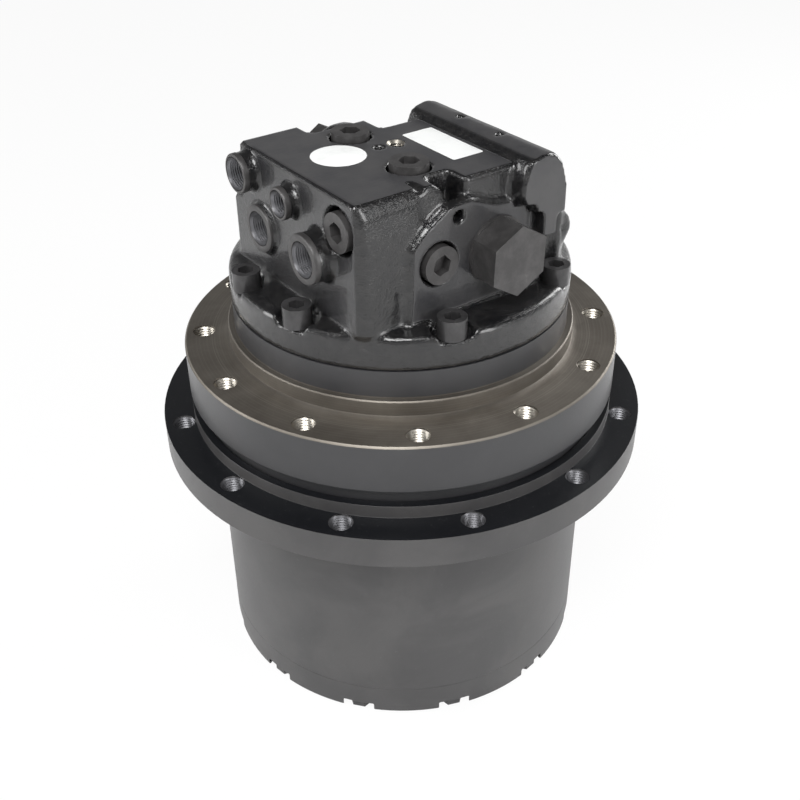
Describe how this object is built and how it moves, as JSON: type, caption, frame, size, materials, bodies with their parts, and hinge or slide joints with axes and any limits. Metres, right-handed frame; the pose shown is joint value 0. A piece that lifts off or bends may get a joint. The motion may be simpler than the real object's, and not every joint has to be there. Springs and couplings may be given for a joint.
{
  "type": "excavator final drive",
  "caption": "Hydraulic travel motor and planetary reduction in a flanged drum, with an upper frame flange and a cast valve block.",
  "frame": {"origin": "centre of the base of the bounding box, on the axis of rotation at the end cover's resting face", "axes": "+Z along the axis of rotation from the end cover to the valve block, -X out of the face with the oil ports, -Y out of the front hexagon plug"},
  "size_m": [0.354, 0.354, 0.4098],
  "materials": {
    "drum_paint": "satin",
    "flange_steel": "machined, lightly oiled",
    "block_paint": "gloss over rough casting",
    "plug_black": "satin",
    "bolt_black": "black oxide",
    "gear_steel": "ground",
    "bearing_steel": "polished",
    "shaft_steel": "ground",
    "carrier_iron": "machined casting",
    "bronze": "lapped",
    "seal_rubber": "matt",
    "spring_steel": "oiled",
    "friction_lining": "rough"
  },
  "bodies": {
    "frame_side": {"hub_spindle": "flange_steel", "valve_block": "block_paint", "valve_block_bolts": "bolt_black", "counterbalance_plug_front": "plug_black", "counterbalance_plug_rear": "plug_black", "counterbalance_spring_front": "spring_steel", "counterbalance_spring_rear": "spring_steel", "top_gallery_plugs": "plug_black", "port_face_plug": "plug_black", "front_gallery_plug": "plug_black", "swash_cradle": "bronze", "valve_plate": "bronze", "brake_plates": "gear_steel", "brake_spring": "spring_steel", "shaft_bearing_front": "bearing_steel", "shaft_bearing_rear": "bearing_steel", "shaft_seal": "seal_rubber", "bearing_inner_lower": "bearing_steel", "bearing_inner_upper": "bearing_steel", "bearing_lock_nut": "gear_steel", "seal_ring_fixed": "bearing_steel", "seal_rubber_fixed": "seal_rubber", "planet_pins_second": "shaft_steel", "two_speed_spring": "spring_steel", "two_speed_plug": "plug_black"},
    "drum": {"drum_housing": "drum_paint", "end_cover": "drum_paint", "cover_bolts": "bolt_black", "cover_plugs": "plug_black", "cover_thrust_pad": "gear_steel", "bearing_outer_lower": "bearing_steel", "bearing_outer_upper": "bearing_steel", "seal_ring_turning": "bearing_steel", "seal_rubber_turning": "seal_rubber"},
    "carrier": {"planet_carrier": "carrier_iron", "planet_pins_first": "shaft_steel", "sun_gear_second": "gear_steel"},
    "motor_rotor": {"motor_shaft": "shaft_steel", "sun_gear_first": "gear_steel", "cylinder_block": "shaft_steel", "motor_pistons": "bearing_steel", "brake_discs": "friction_lining"},
    "rollers_lower": {"bearing_rollers_lower": "bearing_steel"},
    "rollers_upper": {"bearing_rollers_upper": "bearing_steel"},
    "swash": {"swash_plate": "gear_steel"},
    "slippers": {"slipper_retainer": "bronze"},
    "speed_piston": {"speed_control_piston": "shaft_steel"},
    "brake_piston": {"brake_piston": "shaft_steel"},
    "counterbalance_spool": {"counterbalance_spool": "shaft_steel"},
    "two_speed_spool": {"two_speed_spool": "shaft_steel"},
    "planet_first_a": {"planet_first_a": "gear_steel"},
    "planet_first_b": {"planet_first_b": "gear_steel"},
    "planet_first_c": {"planet_first_c": "gear_steel"},
    "planet_second_a": {"planet_second_a": "gear_steel"},
    "planet_second_b": {"planet_second_b": "gear_steel"},
    "planet_second_c": {"planet_second_c": "gear_steel"}
  },
  "joints": [
    {"name": "drum_spin", "type": "hinge", "parent": "frame_side", "child": "drum", "pos_m": [0, 0, 0.1], "axis": [0, 0, 1], "continuous": true},
    {"name": "carrier_spin", "type": "hinge", "parent": "frame_side", "child": "carrier", "pos_m": [0, 0, 0.067], "axis": [0, 0, 1], "continuous": true},
    {"name": "motor_spin", "type": "hinge", "parent": "frame_side", "child": "motor_rotor", "pos_m": [0, 0, 0.2], "axis": [0, 0, 1], "continuous": true},
    {"name": "planet_first_a_spin", "type": "hinge", "parent": "carrier", "child": "planet_first_a", "pos_m": [0, 0.072, 0.048], "axis": [0, 0, 1], "continuous": true},
    {"name": "planet_first_b_spin", "type": "hinge", "parent": "carrier", "child": "planet_first_b", "pos_m": [-0.06235, -0.036, 0.048], "axis": [0, 0, 1], "continuous": true},
    {"name": "planet_first_c_spin", "type": "hinge", "parent": "carrier", "child": "planet_first_c", "pos_m": [0.06235, -0.036, 0.048], "axis": [0, 0, 1], "continuous": true},
    {"name": "planet_second_a_spin", "type": "hinge", "parent": "frame_side", "child": "planet_second_a", "pos_m": [0, 0.072, 0.096], "axis": [0, 0, 1], "continuous": true},
    {"name": "planet_second_b_spin", "type": "hinge", "parent": "frame_side", "child": "planet_second_b", "pos_m": [-0.06235, -0.036, 0.096], "axis": [0, 0, 1], "continuous": true},
    {"name": "planet_second_c_spin", "type": "hinge", "parent": "frame_side", "child": "planet_second_c", "pos_m": [0.06235, -0.036, 0.096], "axis": [0, 0, 1], "continuous": true},
    {"name": "rollers_lower_spin", "type": "hinge", "parent": "frame_side", "child": "rollers_lower", "pos_m": [0, 0, 0.144], "axis": [0, 0, 1], "continuous": true},
    {"name": "rollers_upper_spin", "type": "hinge", "parent": "frame_side", "child": "rollers_upper", "pos_m": [0, 0, 0.17], "axis": [0, 0, 1], "continuous": true},
    {"name": "swash_tilt", "type": "hinge", "parent": "frame_side", "child": "swash", "pos_m": [0, 0, 0.186], "axis": [-1, 0, 0], "range_deg": [0, 4]},
    {"name": "slippers_spin", "type": "hinge", "parent": "swash", "child": "slippers", "pos_m": [0, 0, 0.186], "axis": [0, -0.1736, 0.9848], "continuous": true},
    {"name": "speed_piston_slide", "type": "slide", "parent": "frame_side", "child": "speed_piston", "axis": [0, 0, 1], "range_m": [0, 0.004]},
    {"name": "brake_release", "type": "slide", "parent": "frame_side", "child": "brake_piston", "axis": [0, 0, 1], "range_m": [0, 0.0015], "deforming": ["brake_spring"]},
    {"name": "counterbalance_shift", "type": "slide", "parent": "frame_side", "child": "counterbalance_spool", "axis": [0, 1, 0], "range_m": [-0.006, 0.006]},
    {"name": "two_speed_shift", "type": "slide", "parent": "frame_side", "child": "two_speed_spool", "axis": [0, -1, 0], "range_m": [0, 0.005]}
  ],
  "couplings": [
    {"joint": "carrier_spin", "follows": "drum_spin", "ratio": -5},
    {"joint": "motor_spin", "follows": "drum_spin", "ratio": -35},
    {"joint": "planet_first_a_spin", "follows": "drum_spin", "ratio": 15},
    {"joint": "planet_first_b_spin", "follows": "drum_spin", "ratio": 15},
    {"joint": "planet_first_c_spin", "follows": "drum_spin", "ratio": 15},
    {"joint": "planet_second_a_spin", "follows": "drum_spin", "ratio": 2.5},
    {"joint": "planet_second_b_spin", "follows": "drum_spin", "ratio": 2.5},
    {"joint": "planet_second_c_spin", "follows": "drum_spin", "ratio": 2.5},
    {"joint": "rollers_lower_spin", "follows": "drum_spin", "ratio": 0.519},
    {"joint": "rollers_upper_spin", "follows": "drum_spin", "ratio": 0.519},
    {"joint": "slippers_spin", "follows": "drum_spin", "ratio": -35},
    {"joint": "speed_piston_slide", "follows": "swash_tilt", "m_per_rad": 0.0455}
  ]
}
